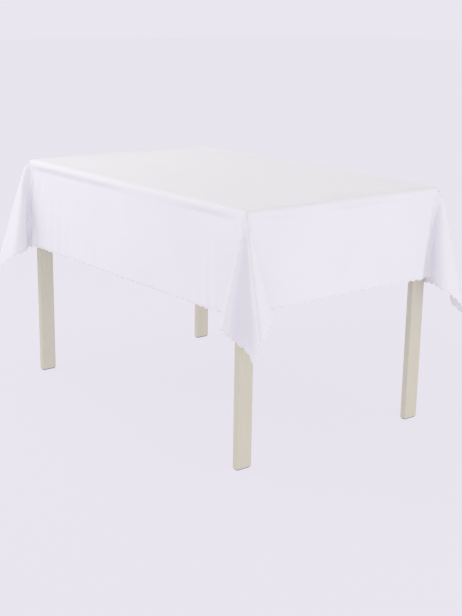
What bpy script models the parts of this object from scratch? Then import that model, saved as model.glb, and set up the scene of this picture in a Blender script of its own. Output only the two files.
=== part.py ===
"""A rectangular dining table with a scalloped tablecloth draped over it.

Metres, +Z up. The origin is on the floor under the middle of the board, +X runs along the
table's length towards its right end, and the front long side faces -Y.

The table is a knock-down one: each pair of legs is dowelled to an end apron, and the two long
aprons are drawn up against the legs by bolts and barrel nuts. The cloth is one loose sheet that
lies on the board and hangs on all four sides, with an ear of spare cloth at each corner.
"""

import math

import bmesh
import bpy
from mathutils import Vector

# Clearances
SEAT_GAP = 0.0003          # between two faces that rest on each other
HOLE_CLEARANCE = 0.0003    # all round a bolt, dowel, nut or screw in its hole

# Board
TABLE_LENGTH = 1.200       # along X
TABLE_WIDTH = 0.756        # along Y
TABLE_HEIGHT = 0.760       # floor to the board's upper face
BOARD_THICKNESS = 0.018
EDGE_ROUND = 0.0020        # rounding of the board's edges
WOOD_ROUND = 0.0012        # rounding of the legs' and aprons' edges

# Legs: flat bars, their broad faces towards the table's ends
LEG_BREADTH = 0.052        # along Y
LEG_THICKNESS = 0.021      # along X
LEG_END_INSET = 0.025      # from the board's end to the leg's outer broad face
LEG_SIDE_INSET = 0.002     # from the board's long edge to the leg's outer narrow face
GLIDE_THICKNESS = 0.003
GLIDE_MARGIN = 0.003       # the glide is this much smaller than the leg's foot all round

# Aprons
APRON_HEIGHT = 0.070
APRON_THICKNESS = 0.018
APRON_SETBACK = 0.010      # from the leg's outer narrow face to the long apron's outer face

# Frame bolts and barrel nuts, two at each leg
BOLT_RADIUS = 0.003
BOLT_HEAD_RADIUS = 0.007
BOLT_HEAD_THICKNESS = 0.0025
BOLT_SOCKET_RADIUS = 0.0023
BOLT_SOCKET_DEPTH = 0.0016
BOLT_SPACING = 0.036       # between the upper and the lower bolt
NUT_RADIUS = 0.005
NUT_LENGTH = 0.014
NUT_FROM_END = 0.030       # from the apron's end to the barrel nut's axis
BOLT_PAST_NUT = 0.004      # how far the bolt's tip runs past the nut

# Dowels, two at each end of each end apron
DOWEL_RADIUS = 0.004
DOWEL_LENGTH = 0.036
DOWEL_SPACING = 0.040
DOWEL_CHAMFER = 0.0008

# Steel angles that hold the board down, two on each long apron
ANGLE_ARM = 0.022
ANGLE_WIDTH = 0.018
ANGLE_GAUGE = 0.0018
ANGLE_FROM_CENTRE = 0.300
SCREW_RADIUS = 0.00175
SCREW_LENGTH = 0.013       # under the head
SCREW_HEAD_RADIUS = 0.0036
SCREW_HEAD_THICKNESS = 0.0022

# Tablecloth: the flat cut, and how it hangs
CLOTH_LENGTH = 1.778
CLOTH_WIDTH = 1.372
CLOTH_THICKNESS = 0.0012
EDGING_RADIUS = 0.0009     # overlocked thread round the hem
EDGING_GAP = 0.0008        # between the thread and the cloth's cut edge
OVERHANG_STRIPS = 10       # strips of mesh in the cloth that hangs
CORNER_STRIPS = 8          # strips beside the corner, where the ear begins
CORNER_REACH = 0.260       # how far along the board those strips reach
MIDDLE_STRIPS_X = 6
MIDDLE_STRIPS_Y = 4

# The ear: rays of cloth from the board's corner, each as degrees from straight down, first in
# along the board's edge and then out from it
EAR_START = (40, 0)        # the last ray of the flat panel
EAR_BULGE = (8, 20)        # pulls the end of the panel outwards, so that it rounds over
EAR_VALLEY = (2, 5)        # the deep fold between the panel and the ear
EAR_LOBE = (-1, 2)         # pulls the ear's flank in behind that fold
EAR_RIDGE = 17             # how far the ear's ridge leans out along the corner's diagonal
EAR_NOSE = 6               # the breadth of the rounded ridge
VALLEY_ANGLE = 107         # where the deep fold lies, round the corner of the flat cut

# Colours of the finishes: linear red, green, blue, then roughness and metallic
FINISHES = {
    "white_cloth": ((0.86, 0.85, 0.88), 0.62, 0.0),
    "hem_thread": ((0.84, 0.83, 0.86), 0.55, 0.0),
    "white_board": ((0.80, 0.79, 0.76), 0.40, 0.0),
    "cream_paint": ((0.66, 0.63, 0.55), 0.45, 0.0),
    "zinc_steel": ((0.55, 0.56, 0.58), 0.35, 1.0),
    "beech": ((0.55, 0.36, 0.20), 0.65, 0.0),
    "grey_felt": ((0.30, 0.29, 0.28), 0.90, 0.0),
}

# Places worked out from the sizes above
HALF_LENGTH = TABLE_LENGTH / 2
HALF_WIDTH = TABLE_WIDTH / 2
BOARD_UNDERSIDE = TABLE_HEIGHT - BOARD_THICKNESS
FRAME_TOP = BOARD_UNDERSIDE - SEAT_GAP
APRON_MIDDLE = FRAME_TOP - APRON_HEIGHT / 2
LEG_FOOT = GLIDE_THICKNESS + SEAT_GAP
LEG_OUTER_X = HALF_LENGTH - LEG_END_INSET
LEG_INNER_X = LEG_OUTER_X - LEG_THICKNESS
LEG_MIDDLE_X = (LEG_OUTER_X + LEG_INNER_X) / 2
LEG_OUTER_Y = HALF_WIDTH - LEG_SIDE_INSET
LEG_INNER_Y = LEG_OUTER_Y - LEG_BREADTH
LONG_APRON_END = LEG_INNER_X - SEAT_GAP
LONG_APRON_OUTER_Y = LEG_OUTER_Y - APRON_SETBACK
LONG_APRON_MIDDLE_Y = LONG_APRON_OUTER_Y - APRON_THICKNESS / 2
LONG_APRON_INNER_Y = LONG_APRON_OUTER_Y - APRON_THICKNESS
END_APRON_END = LEG_INNER_Y - SEAT_GAP
CLOTH_OFFSET = SEAT_GAP + CLOTH_THICKNESS / 2    # from the board to the middle of the cloth
FOLD_X = HALF_LENGTH + CLOTH_OFFSET
FOLD_Y = HALF_WIDTH + CLOTH_OFFSET
FOLD_Z = TABLE_HEIGHT + CLOTH_OFFSET
END_DROP = CLOTH_LENGTH / 2 - FOLD_X
SIDE_DROP = CLOTH_WIDTH / 2 - FOLD_Y
TIP_ANGLE = 90 + math.degrees(math.atan2(END_DROP, SIDE_DROP))

LEFT_RIGHT = (("left", -1), ("right", 1))
FRONT_REAR = (("front", -1), ("rear", 1))
LOWER_UPPER = (("lower", -1), ("upper", 1))


# ---------------------------------------------------------------- helpers

def clear_scene():
    for obj in list(bpy.data.objects):
        bpy.data.objects.remove(obj, do_unlink=True)


def new_collection(name):
    collection = bpy.data.collections.new(name)
    bpy.context.scene.collection.children.link(collection)
    return collection


def make_materials():
    made = {}
    for name, (colour, roughness, metallic) in FINISHES.items():
        material = bpy.data.materials.new(name)
        material.use_nodes = True
        shader = material.node_tree.nodes["Principled BSDF"]
        shader.inputs["Base Color"].default_value = (*colour, 1)
        shader.inputs["Roughness"].default_value = roughness
        shader.inputs["Metallic"].default_value = metallic
        made[name] = material
    return made


clear_scene()
PARTS = new_collection("table_with_tablecloth")
CUTTERS = new_collection("cutters")
MATERIALS = make_materials()


def add_mesh(name, bm, finish, location=(0, 0, 0), rotation=(0, 0, 0)):
    """Links a finished bmesh as one named sub-part."""
    mesh = bpy.data.meshes.new(name)
    bm.to_mesh(mesh)
    bm.free()
    obj = bpy.data.objects.new(name, mesh)
    obj.location = location
    obj.rotation_euler = rotation
    mesh.materials.append(MATERIALS[finish])
    PARTS.objects.link(obj)
    return obj


def block(size):
    """A box of that size about the origin."""
    bm = bmesh.new()
    bmesh.ops.create_cube(bm, size=1)
    bmesh.ops.scale(bm, vec=size, verts=bm.verts)
    return bm


def round_edges(obj, width, segments=2):
    bevel = obj.modifiers.new("rounded_edges", "BEVEL")
    bevel.width = width
    bevel.segments = segments


def cut(obj, shape):
    """Takes a bmesh, given in the object's own axes, out of the object."""
    mesh = bpy.data.meshes.new(obj.name + "_cutter")
    shape.to_mesh(mesh)
    shape.free()
    cutter = bpy.data.objects.new(mesh.name, mesh)
    cutter.location = obj.location
    cutter.rotation_euler = obj.rotation_euler
    cutter.hide_render = True
    cutter.display_type = "WIRE"
    CUTTERS.objects.link(cutter)
    boolean = obj.modifiers.new("holes", "BOOLEAN")
    boolean.operation = "DIFFERENCE"
    boolean.object = cutter


def add_rod(bm, start, end, radius, segments=12):
    """Adds a closed cylinder between two points to a bmesh."""
    start, end = Vector(start), Vector(end)
    made = bmesh.ops.create_cone(
        bm, cap_ends=True, segments=segments, radius1=radius, radius2=radius,
        depth=(end - start).length)
    turn = (end - start).to_track_quat("Z", "Y").to_matrix()
    bmesh.ops.rotate(bm, cent=(0, 0, 0), matrix=turn, verts=made["verts"])
    bmesh.ops.translate(bm, vec=(start + end) / 2, verts=made["verts"])


def turned(profile, segments=12):
    """A closed turned piece about Z from its profile of (radius, height), from the bottom up."""
    bm = bmesh.new()
    verts = [bm.verts.new((radius, 0, height)) for radius, height in profile]
    edges = [bm.edges.new(pair) for pair in zip(verts, verts[1:])]
    bmesh.ops.spin(
        bm, geom=verts + edges, cent=(0, 0, 0), axis=(0, 0, 1), angle=2 * math.pi, steps=segments)
    bmesh.ops.remove_doubles(bm, verts=bm.verts, dist=1e-6)
    bmesh.ops.recalc_face_normals(bm, faces=bm.faces)
    return bm


def shade(obj):
    """Smooth shading with the real edges left sharp."""
    obj.data.shade_smooth()
    obj.data.set_sharp_from_angle(angle=math.radians(30))


# ---------------------------------------------------------------- board, legs and aprons

def make_board():
    board = add_mesh(
        "tabletop", block((TABLE_LENGTH, TABLE_WIDTH, BOARD_THICKNESS)), "white_board",
        location=(0, 0, TABLE_HEIGHT - BOARD_THICKNESS / 2))
    round_edges(board, EDGE_ROUND)
    holes = bmesh.new()
    depth = SCREW_LENGTH - ANGLE_GAUGE + HOLE_CLEARANCE
    for _, side in FRONT_REAR:
        for _, hand in LEFT_RIGHT:
            x, y = angle_hole(hand, side)
            low = -BOARD_THICKNESS / 2
            add_rod(holes, (x, y, low - BOARD_THICKNESS), (x, y, low + depth),
                    SCREW_RADIUS + HOLE_CLEARANCE, 8)
    cut(board, holes)


def bolt_heights():
    return [(name, APRON_MIDDLE + place * BOLT_SPACING / 2) for name, place in LOWER_UPPER]


def dowel_heights():
    return [(name, APRON_MIDDLE + place * DOWEL_SPACING / 2) for name, place in LOWER_UPPER]


def make_leg(hand_name, hand, side_name, side):
    """One leg with its two counterbored bolt holes and two dowel holes."""
    length = FRAME_TOP - LEG_FOOT
    middle = Vector((
        hand * LEG_MIDDLE_X, side * (LEG_OUTER_Y + LEG_INNER_Y) / 2, (FRAME_TOP + LEG_FOOT) / 2))
    leg = add_mesh(
        f"leg_{side_name}_{hand_name}", block((LEG_THICKNESS, LEG_BREADTH, length)),
        "cream_paint", location=middle)
    round_edges(leg, WOOD_ROUND)
    holes = bmesh.new()
    bore = BOLT_RADIUS + HOLE_CLEARANCE
    seat = BOLT_HEAD_RADIUS + HOLE_CLEARANCE
    seat_depth = BOLT_HEAD_THICKNESS + SEAT_GAP
    for _, height in bolt_heights():
        y = side * LONG_APRON_MIDDLE_Y - middle.y
        z = height - middle.z
        outer = hand * LEG_THICKNESS / 2
        add_rod(holes, (-2 * outer, y, z), (2 * outer, y, z), bore)
        add_rod(holes, (outer - hand * seat_depth, y, z), (2 * outer, y, z), seat)
    for _, height in dowel_heights():
        face = -side * LEG_BREADTH / 2
        deep = side * (DOWEL_LENGTH / 2 + HOLE_CLEARANCE)
        add_rod(holes, (0, 2 * face, height - middle.z), (0, face + deep, height - middle.z),
                DOWEL_RADIUS + HOLE_CLEARANCE)
    cut_union(leg, holes)
    return leg


def cut_union(obj, shape):
    """Cuts shapes that may cross one another."""
    cut(obj, shape)
    obj.modifiers["holes"].use_self = True


def make_glide(hand_name, hand, side_name, side):
    """A thin felt pad under the leg's foot."""
    size = (LEG_THICKNESS - 2 * GLIDE_MARGIN, LEG_BREADTH - 2 * GLIDE_MARGIN, GLIDE_THICKNESS)
    glide = add_mesh(
        f"glide_{side_name}_{hand_name}", block(size), "grey_felt",
        location=(hand * LEG_MIDDLE_X, side * (LEG_OUTER_Y + LEG_INNER_Y) / 2,
                  GLIDE_THICKNESS / 2))
    round_edges(glide, GLIDE_THICKNESS / 6)


def make_long_apron(side_name, side):
    """A long apron: bolt holes in its ends, barrel nut holes and angle screws in its inner face."""
    middle = Vector((0, side * LONG_APRON_MIDDLE_Y, APRON_MIDDLE))
    apron = add_mesh(
        f"apron_{side_name}", block((2 * LONG_APRON_END, APRON_THICKNESS, APRON_HEIGHT)),
        "cream_paint", location=middle)
    round_edges(apron, WOOD_ROUND)
    holes = bmesh.new()
    inner = -side * APRON_THICKNESS / 2
    nut_deep = side * (NUT_LENGTH + 2 * HOLE_CLEARANCE)
    bolt_reach = LONG_APRON_END - NUT_FROM_END - BOLT_PAST_NUT - NUT_RADIUS - HOLE_CLEARANCE
    for _, hand in LEFT_RIGHT:
        for _, height in bolt_heights():
            z = height - middle.z
            add_rod(holes, (hand * 2 * LONG_APRON_END, 0, z), (hand * bolt_reach, 0, z),
                    BOLT_RADIUS + HOLE_CLEARANCE)
            x = hand * (LONG_APRON_END - NUT_FROM_END)
            add_rod(holes, (x, 2 * inner, z), (x, inner + nut_deep, z),
                    NUT_RADIUS + HOLE_CLEARANCE)
        x, z = hand * ANGLE_FROM_CENTRE, angle_screw_height() - middle.z
        screw_deep = side * (SCREW_LENGTH - ANGLE_GAUGE + HOLE_CLEARANCE)
        add_rod(holes, (x, 2 * inner, z), (x, inner + screw_deep, z),
                SCREW_RADIUS + HOLE_CLEARANCE, 8)
    cut_union(apron, holes)


def make_end_apron(hand_name, hand):
    """An end apron, dowelled between the two legs of its end."""
    middle = Vector((hand * LEG_MIDDLE_X, 0, APRON_MIDDLE))
    apron = add_mesh(
        f"apron_{hand_name}", block((APRON_THICKNESS, 2 * END_APRON_END, APRON_HEIGHT)),
        "cream_paint", location=middle)
    round_edges(apron, WOOD_ROUND)
    holes = bmesh.new()
    deep = DOWEL_LENGTH / 2 + HOLE_CLEARANCE
    for _, side in FRONT_REAR:
        for _, height in dowel_heights():
            z = height - middle.z
            add_rod(holes, (0, side * 2 * END_APRON_END, z), (0, side * (END_APRON_END - deep), z),
                    DOWEL_RADIUS + HOLE_CLEARANCE)
    cut(apron, holes)


# ---------------------------------------------------------------- fasteners

def make_bolt(name, hand, side, height):
    """A flat-headed frame bolt with a hexagon socket, pointing in along X."""
    under_head = LEG_THICKNESS - BOLT_HEAD_THICKNESS
    shank = under_head + SEAT_GAP + NUT_FROM_END + NUT_RADIUS + BOLT_PAST_NUT
    chamfer = BOLT_RADIUS / 4
    head_round = BOLT_HEAD_THICKNESS / 5
    bm = turned([
        (0, -shank),
        (BOLT_RADIUS - chamfer, -shank),
        (BOLT_RADIUS, -shank + chamfer),
        (BOLT_RADIUS, 0),
        (BOLT_HEAD_RADIUS, 0),
        (BOLT_HEAD_RADIUS, BOLT_HEAD_THICKNESS - head_round),
        (BOLT_HEAD_RADIUS - head_round, BOLT_HEAD_THICKNESS),
        (0, BOLT_HEAD_THICKNESS),
    ])
    head_seat = LEG_OUTER_X - BOLT_HEAD_THICKNESS
    bolt = add_mesh(
        name, bm, "zinc_steel",
        location=(hand * head_seat, side * LONG_APRON_MIDDLE_Y, height),
        rotation=(0, hand * math.pi / 2, 0))
    shade(bolt)
    socket = bmesh.new()
    add_rod(socket, (0, 0, BOLT_HEAD_THICKNESS - BOLT_SOCKET_DEPTH),
            (0, 0, 2 * BOLT_HEAD_THICKNESS), BOLT_SOCKET_RADIUS, 6)
    cut(bolt, socket)


def make_nut(name, hand, side, height):
    """A barrel nut across the long apron, with the bolt's hole through its side."""
    chamfer = NUT_RADIUS / 8
    half = NUT_LENGTH / 2
    bm = turned([
        (0, -half), (NUT_RADIUS - chamfer, -half), (NUT_RADIUS, -half + chamfer),
        (NUT_RADIUS, half - chamfer), (NUT_RADIUS - chamfer, half), (0, half),
    ])
    hole_end = LONG_APRON_INNER_Y + NUT_LENGTH + 2 * HOLE_CLEARANCE
    place_y = hole_end - HOLE_CLEARANCE - half
    nut = add_mesh(
        name, bm, "zinc_steel",
        location=(hand * (LONG_APRON_END - NUT_FROM_END), side * place_y, height),
        rotation=(math.pi / 2, 0, 0))
    shade(nut)
    hole = bmesh.new()
    along = place_y - LONG_APRON_MIDDLE_Y    # the bolt's line, in the nut's own axes
    add_rod(hole, (-2 * NUT_RADIUS, 0, side * along), (2 * NUT_RADIUS, 0, side * along),
            BOLT_RADIUS + HOLE_CLEARANCE)
    cut(nut, hole)


def make_dowel(name, hand, side, height):
    half = DOWEL_LENGTH / 2
    bm = turned([
        (0, -half), (DOWEL_RADIUS - DOWEL_CHAMFER, -half), (DOWEL_RADIUS, -half + DOWEL_CHAMFER),
        (DOWEL_RADIUS, half - DOWEL_CHAMFER), (DOWEL_RADIUS - DOWEL_CHAMFER, half), (0, half),
    ])
    joint = END_APRON_END + SEAT_GAP / 2
    shade(add_mesh(name, bm, "beech", location=(hand * LEG_MIDDLE_X, side * joint, height),
                   rotation=(math.pi / 2, 0, 0)))


def angle_inner_y():
    """The apron-side face of the steel angle, from the table's middle."""
    return LONG_APRON_INNER_Y - SEAT_GAP


def angle_hole(hand, side):
    """Where the angle's board screw goes up."""
    return hand * ANGLE_FROM_CENTRE, side * (angle_inner_y() - ANGLE_ARM / 2 - ANGLE_GAUGE / 2)


def angle_screw_height():
    """The height of the screw that goes into the apron."""
    return FRAME_TOP - ANGLE_ARM / 2 - ANGLE_GAUGE / 2


def make_angle(hand_name, hand, side_name, side):
    """A folded steel angle in the corner between a long apron and the board."""
    bm = bmesh.new()
    half = ANGLE_WIDTH / 2
    arms = ((0, -ANGLE_ARM), (0, 0), (-ANGLE_ARM, 0))
    rows = [[bm.verts.new((x, side * y, z)) for y, z in arms] for x in (-half, half)]
    for k in range(2):
        bm.faces.new((rows[0][k], rows[0][k + 1], rows[1][k + 1], rows[1][k]))
    # The sheet's outer faces lie against the apron and the board, so it thickens inwards.
    for face in bm.faces:
        face.normal_update()
        if face.normal.dot(Vector((0, side, 1))) < 0:
            face.normal_flip()
    angle = add_mesh(
        f"angle_{side_name}_{hand_name}", bm, "zinc_steel",
        location=(hand * ANGLE_FROM_CENTRE, side * angle_inner_y(), FRAME_TOP))
    wall = angle.modifiers.new("gauge", "SOLIDIFY")
    wall.thickness = ANGLE_GAUGE
    wall.offset = -1
    wall.use_even_offset = True
    holes = bmesh.new()
    bore = SCREW_RADIUS + HOLE_CLEARANCE
    _, y = angle_hole(hand, side)
    y -= side * angle_inner_y()
    add_rod(holes, (0, y, -ANGLE_GAUGE * 2), (0, y, ANGLE_GAUGE), bore, 8)
    z = angle_screw_height() - FRAME_TOP
    add_rod(holes, (0, side * ANGLE_GAUGE, z), (0, -side * ANGLE_GAUGE * 2, z), bore, 8)
    cut(angle, holes)


def make_screw(name, place, direction):
    """A pan-head wood screw whose head's underside is at that place, pointing that way."""
    tip = SCREW_RADIUS * 1.6
    crown = SCREW_HEAD_THICKNESS / 2
    bm = turned([
        (0, -SCREW_HEAD_THICKNESS),
        (SCREW_HEAD_RADIUS * 0.6, -SCREW_HEAD_THICKNESS),
        (SCREW_HEAD_RADIUS, -SCREW_HEAD_THICKNESS + crown),
        (SCREW_HEAD_RADIUS, 0),
        (SCREW_RADIUS, 0),
        (SCREW_RADIUS, SCREW_LENGTH - tip),
        (0, SCREW_LENGTH),
    ], 8)
    turn = Vector(direction).to_track_quat("Z", "Y").to_euler()
    screw = add_mesh(name, bm, "zinc_steel", location=place, rotation=turn)
    shade(screw)
    slot = bmesh.new()
    depth = SCREW_HEAD_THICKNESS / 2
    long, narrow = SCREW_HEAD_RADIUS, SCREW_RADIUS / 3
    for length, breadth in ((long, narrow), (narrow, long)):
        made = bmesh.ops.create_cube(slot, size=1)
        bmesh.ops.scale(slot, vec=(length, breadth, 2 * depth), verts=made["verts"])
        bmesh.ops.translate(slot, vec=(0, 0, -SCREW_HEAD_THICKNESS), verts=made["verts"])
    cut_union(screw, slot)


def make_fasteners():
    for side_name, side in FRONT_REAR:
        for hand_name, hand in LEFT_RIGHT:
            where = f"{side_name}_{hand_name}"
            for level, height in bolt_heights():
                make_bolt(f"frame_bolt_{where}_{level}", hand, side, height)
                make_nut(f"barrel_nut_{where}_{level}", hand, side, height)
            for level, height in dowel_heights():
                make_dowel(f"dowel_{where}_{level}", hand, side, height)
            make_angle(hand_name, hand, side_name, side)
            x, y = angle_hole(hand, side)
            under = FRAME_TOP - ANGLE_GAUGE - SEAT_GAP
            make_screw(f"board_screw_{where}", (x, y, under), (0, 0, 1))
            inside = side * (angle_inner_y() - ANGLE_GAUGE - SEAT_GAP)
            make_screw(f"apron_screw_{where}", (x, inside, angle_screw_height()), (0, side, 0))


# ---------------------------------------------------------------- tablecloth

def bezier(points, t):
    """A point on the cubic curve through the first and last of four control points."""
    weights = ((1 - t) ** 3, 3 * t * (1 - t) ** 2, 3 * t * t * (1 - t), t ** 3)
    return sum((w * p for w, p in zip(weights, points)), Vector((0, 0)))


def ear_lean(angle, tip):
    """How far a ray of cloth from the board's corner leans from straight down, in degrees.

    The angle, in degrees, runs round the corner in the flat cut, from the board's long edge (0)
    through the cloth's tip to its end edge (270). The answer is a pair: the lean in along the
    long edge, and the lean out from the long side.
    """
    if angle > tip:
        inward, outward = ear_lean(270 - angle, 270 - tip)
        return -outward, -inward
    flat = 90 - EAR_START[0]
    if angle <= flat:
        return 90 - angle, 0
    valley = Vector(EAR_VALLEY)
    if angle <= VALLEY_ANGLE:
        start = Vector(EAR_START)
        controls = (start, start * 0.45, Vector(EAR_BULGE), valley)
        return bezier(controls, (angle - flat) / (VALLEY_ANGLE - flat))
    ridge = Vector((-EAR_RIDGE, EAR_RIDGE)) * math.sqrt(0.5)
    controls = (valley, Vector(EAR_LOBE), ridge + Vector((EAR_NOSE, EAR_NOSE)), ridge)
    return bezier(controls, (angle - VALLEY_ANGLE) / (tip - VALLEY_ANGLE))


def drape(u, v):
    """Where a point of the flat cut comes to lie once the cloth hangs from the board."""
    past_end, past_side = abs(u) - FOLD_X, abs(v) - FOLD_Y
    if past_end <= 0 and past_side <= 0:
        return Vector((u, v, FOLD_Z))
    hand, side = math.copysign(1, u), math.copysign(1, v)
    reach = math.hypot(past_end, past_side)
    angle = math.degrees(math.atan2(past_side, -past_end)) % 360
    inward, outward = (math.radians(part) for part in ear_lean(angle, TIP_ANGLE))
    lean = math.hypot(inward, outward)
    spread = reach * math.sin(lean) / lean if lean else 0
    return Vector((
        hand * (FOLD_X - inward * spread),
        side * (FOLD_Y + outward * spread),
        FOLD_Z - reach * math.cos(lean)))


def strips(fold, half, middle):
    """The lines that divide one direction of the cloth, from hem to hem."""
    inner = fold - CORNER_REACH
    lines = [inner * k / (middle / 2) for k in range(middle // 2 + 1)]
    lines += [inner + CORNER_REACH * k / CORNER_STRIPS for k in range(1, CORNER_STRIPS + 1)]
    lines += [fold + (half - fold) * k / OVERHANG_STRIPS for k in range(1, OVERHANG_STRIPS + 1)]
    return [-x for x in reversed(lines[1:])] + lines


LINES_U = strips(FOLD_X, CLOTH_LENGTH / 2, MIDDLE_STRIPS_X)
LINES_V = strips(FOLD_Y, CLOTH_WIDTH / 2, MIDDLE_STRIPS_Y)


def make_cloth():
    """The sheet: a flat grid of strips, draped over the board, then given its thickness."""
    columns, rows = len(LINES_U) - 1, len(LINES_V) - 1
    bm = bmesh.new()
    bmesh.ops.create_grid(bm, x_segments=columns, y_segments=rows, size=1)
    at = {}
    for vert in bm.verts:
        column = round((vert.co.x + 1) / 2 * columns)
        row = round((vert.co.y + 1) / 2 * rows)
        at[column, row] = vert
        vert.co = drape(LINES_U[column], LINES_V[row])
    # Each ear folds along its ridge, from the board's corner to the tip.
    for k in range(OVERHANG_STRIPS):
        for near, far in ((k, k + 1), (columns - k, columns - k - 1)):
            for low, high in ((k, k + 1), (rows - k, rows - k - 1)):
                bmesh.ops.connect_vert_pair(bm, verts=(at[near, low], at[far, high]))
    cloth = add_mesh("cloth_panel", bm, "white_cloth")
    sheet = cloth.modifiers.new("cloth_thickness", "SOLIDIFY")
    sheet.thickness = CLOTH_THICKNESS
    sheet.offset = 0
    sheet.use_even_offset = True


def beside_hem(column, row):
    """A point just past the hem, in line with the cloth's last strip there."""
    inner_column = min(max(column, 1), len(LINES_U) - 2)
    inner_row = min(max(row, 1), len(LINES_V) - 2)
    hem = drape(LINES_U[column], LINES_V[row])
    outwards = (hem - drape(LINES_U[inner_column], LINES_V[inner_row])).normalized()
    at_tip = inner_column != column and inner_row != row
    return hem + outwards * (EDGING_RADIUS + EDGING_GAP) * (math.sqrt(2) if at_tip else 1)


def make_edging():
    """The overlocked thread, a closed cord that follows the hem just outside the sheet."""
    right, top = len(LINES_U) - 1, len(LINES_V) - 1
    loop = [(right, row) for row in range(top)]
    loop += [(column, top) for column in range(right, 0, -1)]
    loop += [(0, row) for row in range(top, 0, -1)]
    loop += [(column, 0) for column in range(right)]
    curve = bpy.data.curves.new("hem_edging", "CURVE")
    curve.dimensions = "3D"
    curve.bevel_depth = EDGING_RADIUS
    curve.bevel_resolution = 1
    spline = curve.splines.new("POLY")
    spline.points.add(len(loop) - 1)
    for point, place in zip(spline.points, loop):
        point.co = (*beside_hem(*place), 1)
    spline.use_cyclic_u = True
    curve.materials.append(MATERIALS["hem_thread"])
    PARTS.objects.link(bpy.data.objects.new("hem_edging", curve))


# ---------------------------------------------------------------- assembly

def main():
    make_board()
    for side_name, side in FRONT_REAR:
        make_long_apron(side_name, side)
        for hand_name, hand in LEFT_RIGHT:
            make_leg(hand_name, hand, side_name, side)
            make_glide(hand_name, hand, side_name, side)
    for hand_name, hand in LEFT_RIGHT:
        make_end_apron(hand_name, hand)
    make_fasteners()
    make_cloth()
    make_edging()


main()
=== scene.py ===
# %% [markdown]
# # A scalloped white cloth on a plain table
#
# The real thing is one rectangle of white satin, 1778 by 1372 mm, with a scalloped and
# overlocked edge. It lies on a small table with flat cream legs, hangs straight down on
# all four sides, and falls into a pointed ear at every corner.
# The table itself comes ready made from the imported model, so it only needs its finishes.
# The cloth and its edging are remade here, because a solid slab can't show how cloth hangs.

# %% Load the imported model
import math

import bpy
import numpy as np
from mathutils import Matrix, Vector


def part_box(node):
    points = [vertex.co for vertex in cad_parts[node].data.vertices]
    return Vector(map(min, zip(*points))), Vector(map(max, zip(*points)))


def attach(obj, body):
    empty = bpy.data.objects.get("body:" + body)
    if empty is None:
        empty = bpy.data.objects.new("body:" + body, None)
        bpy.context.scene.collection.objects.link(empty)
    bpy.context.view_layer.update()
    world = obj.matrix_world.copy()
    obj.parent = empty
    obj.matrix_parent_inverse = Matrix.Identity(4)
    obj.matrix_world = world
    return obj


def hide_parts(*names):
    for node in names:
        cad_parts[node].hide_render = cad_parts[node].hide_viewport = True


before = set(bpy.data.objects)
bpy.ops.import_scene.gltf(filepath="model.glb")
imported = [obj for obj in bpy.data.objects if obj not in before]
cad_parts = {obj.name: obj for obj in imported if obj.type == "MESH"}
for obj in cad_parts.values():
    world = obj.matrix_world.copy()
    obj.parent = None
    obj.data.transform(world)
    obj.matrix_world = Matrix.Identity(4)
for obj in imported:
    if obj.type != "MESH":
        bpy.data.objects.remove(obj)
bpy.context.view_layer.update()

# %% [markdown]
# ## Sizes that everything else is worked out from
#
# The board under the cloth sets where the cloth bends. The cloth is 0.5 mm thick and never
# quite touches what is under it, so its middle lies a millimetre and a half off the board.
# All sizes are in metres.

# %% Read the board and name the sizes
board_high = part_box("tabletop")[1]
CLOTH_LENGTH = 1.778
CLOTH_WIDTH = 1.372
CLOTH_THICKNESS = 0.0005
OFF_BOARD = 0.0015
FOLD_X = board_high.x + OFF_BOARD
FOLD_Y = board_high.y + OFF_BOARD
FOLD_Z = board_high.z + OFF_BOARD
print("the cloth folds at", round(FOLD_X, 4), round(FOLD_Y, 4), round(FOLD_Z, 4))

# %% [markdown]
# ## Colours and nodes
#
# Colours are written as the hex values a painter would pick. Blender's shaders want linear
# light, so one function turns a hex value into that. A second one adds a shader node, gives
# it its settings, and links what feeds it, which keeps each finish down to a few lines.


# %% Two small helpers for finishes
def linear(hex_colour):
    """Red, green and blue as light, from the two hex digits of each, and a full alpha."""
    channels = []
    for k in (0, 2, 4):
        c = int(hex_colour[k : k + 2], 16) / 255
        channels.append(c / 12.92 if c <= 0.04045 else ((c + 0.055) / 1.055) ** 2.4)
    return (*channels, 1.0)


def add(tree, kind, inputs=None, **settings):
    """Adds a node. An input is a value, or the output socket of another node."""
    node = tree.nodes.new(kind)
    for name, value in settings.items():
        setattr(node, name, value)
    for name, value in (inputs or {}).items():
        if isinstance(value, bpy.types.NodeSocket):
            tree.links.new(value, node.inputs[name])
        else:
            node.inputs[name].default_value = value
    return node


print("white is", linear("FFFFFF"))

# %% [markdown]
# ## The studio
#
# The table stands on a pale lilac floor that runs on without a horizon. Most of the floor's
# brightness is its own glow, so that the shadow on it stays faint. The light is even and
# comes from everywhere, a little less from overhead. One large soft panel above the left of
# the front draws the folds, and one low on the right lights the end and the legs.

# %% The floor
BACKDROP = linear("E9E6EF")
FLOOR_PAPER = linear("EBE7F4")
FLOOR_SIZE = 60.0
FLOOR_GLOW = 1.02
FLOOR_SHADED = 0.15

scene = bpy.context.scene
scene.view_settings.view_transform = "Standard"

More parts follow.
